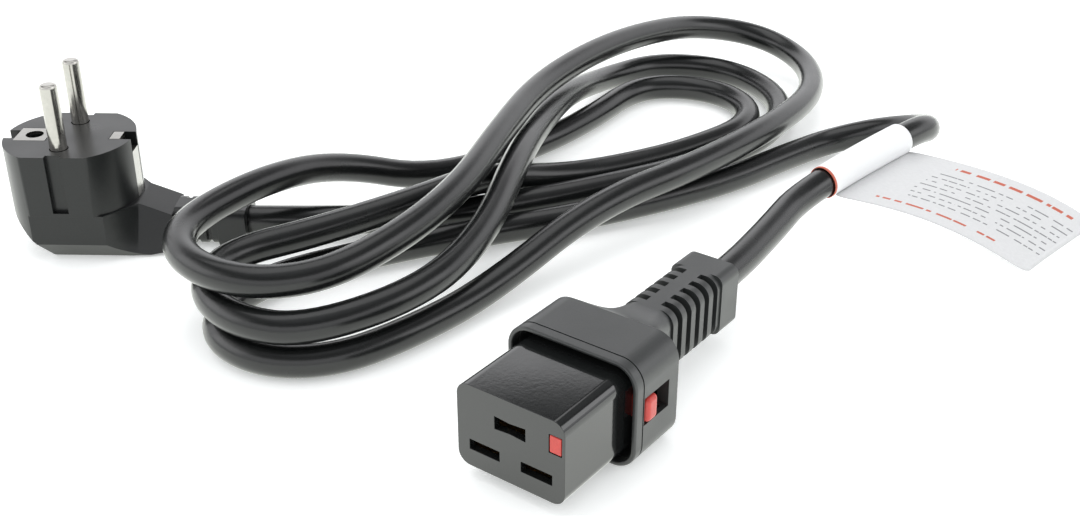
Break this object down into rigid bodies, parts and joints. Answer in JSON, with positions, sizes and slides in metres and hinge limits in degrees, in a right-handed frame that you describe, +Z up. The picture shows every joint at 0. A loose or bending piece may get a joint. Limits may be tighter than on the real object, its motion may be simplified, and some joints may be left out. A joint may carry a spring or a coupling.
{
  "type": "c19 power connector",
  "caption": "Appliance power connector with a slotted face and a side release button, on a coiled supply cord that ends in a right-angled earthed plug with round pins.",
  "frame": {"origin": "under the middle of the connector's own box, on the surface that it lies on", "axes": "+X is the way the connector's slotted face points, +Y is the side with the release button, +Z is up"},
  "size_m": [0.2688, 0.2558, 0.051],
  "materials": {
    "black_pvc": "fine spark-eroded matt moulding",
    "black_nylon": "smooth satin moulding",
    "contact_brass": "satin stamping",
    "red_plastic": "satin",
    "spring_steel": "satin",
    "brown_core": "smooth",
    "blue_core": "smooth",
    "earth_core_colour": "smooth, green with a yellow stripe",
    "black_sheath": "smooth satin extrusion",
    "tag_paper": "smooth label film with bare fields and rules",
    "pin_nickel": "nickel plate"
  },
  "bodies": {
    "connector": {"grip_moulding": "black_pvc", "front_ring": "black_pvc", "contact_block": "black_nylon", "rear_cap": "black_nylon", "line_contact": "contact_brass", "neutral_contact": "contact_brass", "earth_contact": "contact_brass", "return_spring": "spring_steel", "line_core": "brown_core", "neutral_core": "blue_core", "earth_core": "earth_core_colour", "cord_sheath": "black_sheath", "cord_tag": "tag_paper", "plug_body": "black_pvc", "plug_bridge": "black_nylon", "plug_line_pin": "pin_nickel", "plug_neutral_pin": "pin_nickel", "earth_strip": "pin_nickel", "plug_line_core": "brown_core", "plug_neutral_core": "blue_core", "plug_earth_core": "earth_core_colour"},
    "release": {"release_slider": "red_plastic", "lock_plate": "spring_steel"}
  },
  "joints": [
    {"name": "release_slide", "type": "slide", "parent": "connector", "child": "release", "axis": [-1, 0, 0], "range_m": [0, 0.005], "stiffness_N_per_m": 400, "springref_m": -0.002, "deforming": ["return_spring"]}
  ]
}
